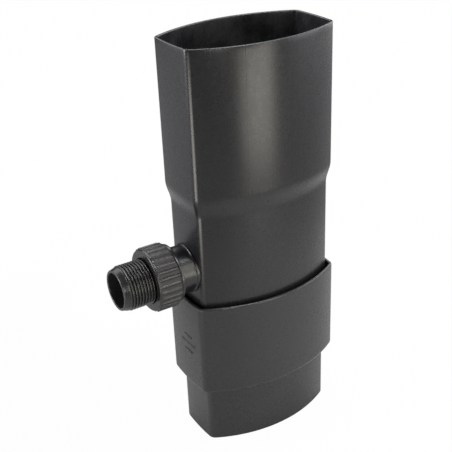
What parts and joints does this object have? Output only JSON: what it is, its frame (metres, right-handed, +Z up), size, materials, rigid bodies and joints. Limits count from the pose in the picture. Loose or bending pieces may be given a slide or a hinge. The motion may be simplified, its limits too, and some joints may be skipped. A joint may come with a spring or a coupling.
{
  "type": "rainwater diverter",
  "caption": "Oval downpipe rainwater diverter with a belled upper socket, side outlet with threaded tail and ribbed union nut, inner overflow trough and sliding lower coupler.",
  "frame": {"origin": "middle of the oval foot of the lower coupler's spigot, on its lower rim's plane", "axes": "+Z up along the downpipe, -X towards the threaded outlet, +Y across the pipe's width"},
  "size_m": [0.1387, 0.0634, 0.248],
  "materials": {
    "body_plastic": "satin moulded anthracite plastic with a soft sheen",
    "coupler_plastic": "satin moulded anthracite plastic, a shade lighter",
    "insert_plastic": "plain moulded dark plastic",
    "fitting_plastic": "fine satin moulded dark plastic",
    "seal_rubber": "matt black rubber"
  },
  "bodies": {
    "lower_coupler": {"lower_coupler": "coupler_plastic"},
    "diverter_body": {"diverter_body": "body_plastic", "overflow_insert": "insert_plastic"},
    "outlet_tail": {"outlet_tail": "fitting_plastic", "outlet_gasket": "seal_rubber"},
    "union_nut": {"union_nut": "fitting_plastic"}
  },
  "joints": [
    {"name": "body_lift", "type": "slide", "parent": "lower_coupler", "child": "diverter_body", "axis": [0, 0, 1], "range_m": [0, 0.045]},
    {"name": "tail_draw", "type": "slide", "parent": "diverter_body", "child": "outlet_tail", "axis": [-1, 0, 0], "range_m": [0, 0.007]},
    {"name": "nut_turn", "type": "hinge", "parent": "outlet_tail", "child": "union_nut", "pos_m": [-0.064, 0, 0.1165], "axis": [-1, 0, 0], "range_deg": [0, 1080]}
  ],
  "couplings": [
    {"joint": "tail_draw", "follows": "nut_turn", "m_per_rad": 0.00036749}
  ]
}
